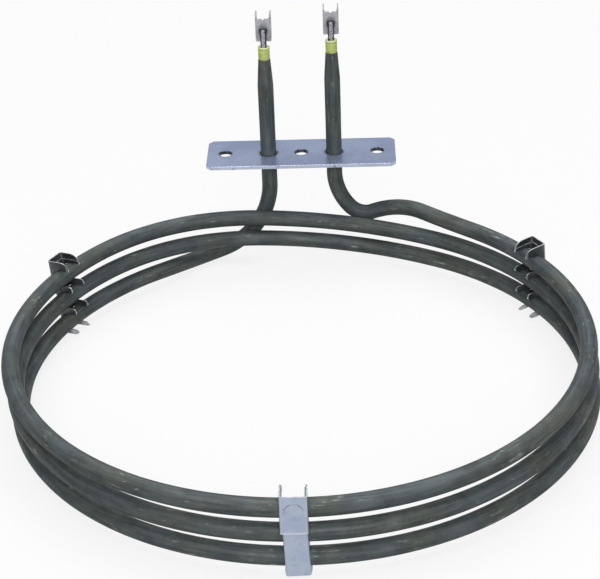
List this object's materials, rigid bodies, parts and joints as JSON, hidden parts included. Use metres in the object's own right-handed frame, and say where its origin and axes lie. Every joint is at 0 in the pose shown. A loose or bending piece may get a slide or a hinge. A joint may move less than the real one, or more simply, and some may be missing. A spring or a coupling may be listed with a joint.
{
  "type": "tubular heating element",
  "caption": "Ring-shaped tubular heating element with spacer clips, a screw-down plate and two flat-tab terminals.",
  "frame": {"origin": "middle of the mounting plate's wall face, on the axis of its middle screw hole", "axes": "+X along the plate, +Z out of the wall face along the legs to the terminals; the ring lies on the -Y side, below the plate"},
  "size_m": [0.219, 0.2363, 0.1094],
  "materials": {
    "sheath": "satin",
    "plate": "satin",
    "clip": "satin",
    "magnesia": "matte",
    "pin": "satin",
    "seal": "satin",
    "terminal": "satin"
  },
  "bodies": {
    "root": {"sheath_tube": "sheath", "mounting_plate": "plate", "magnesia_left": "magnesia", "cold_pin_left": "pin", "end_seal_left": "seal", "terminal_left": "terminal", "magnesia_right": "magnesia", "cold_pin_right": "pin", "end_seal_right": "seal", "terminal_right": "terminal", "clip_comb_front": "clip", "clip_cap_front": "clip", "clip_comb_rear_left": "clip", "clip_cap_rear_left": "clip", "clip_comb_rear_right": "clip", "clip_cap_rear_right": "clip"}
  },
  "joints": []
}
